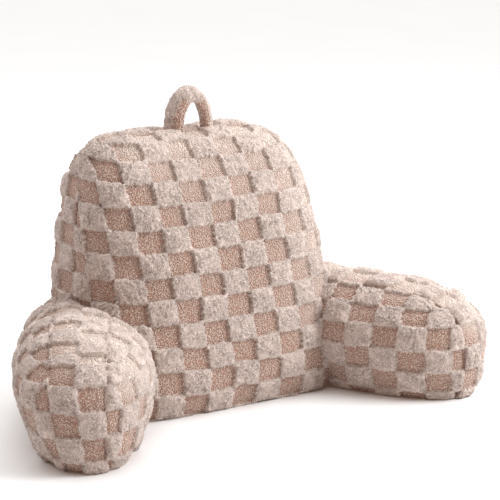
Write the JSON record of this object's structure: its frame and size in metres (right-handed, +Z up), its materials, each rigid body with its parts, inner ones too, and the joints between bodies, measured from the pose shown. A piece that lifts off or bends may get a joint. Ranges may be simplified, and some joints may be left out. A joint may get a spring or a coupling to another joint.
{
  "type": "reading pillow with arms",
  "caption": "Stuffed upright reading pillow with splayed arms, chequered raised pile cloth and a fabric carry loop on top.",
  "frame": {"origin": "centre of the footprint's bounding box, on the surface that the pillow stands on", "axes": "+X towards the left hand of a person who leans back on the pillow, along the longest extent; +Y towards the rear; +Z up"},
  "size_m": [0.8521, 0.4827, 0.5119],
  "materials": {
    "pile_cloth": "short pile, chequered raised cream and sunk pinkish tan",
    "loop_cloth": "short pile"
  },
  "bodies": {
    "root": {"back_cushion": "pile_cloth", "arm_left": "pile_cloth", "arm_right": "pile_cloth", "carry_loop": "loop_cloth"}
  },
  "joints": []
}
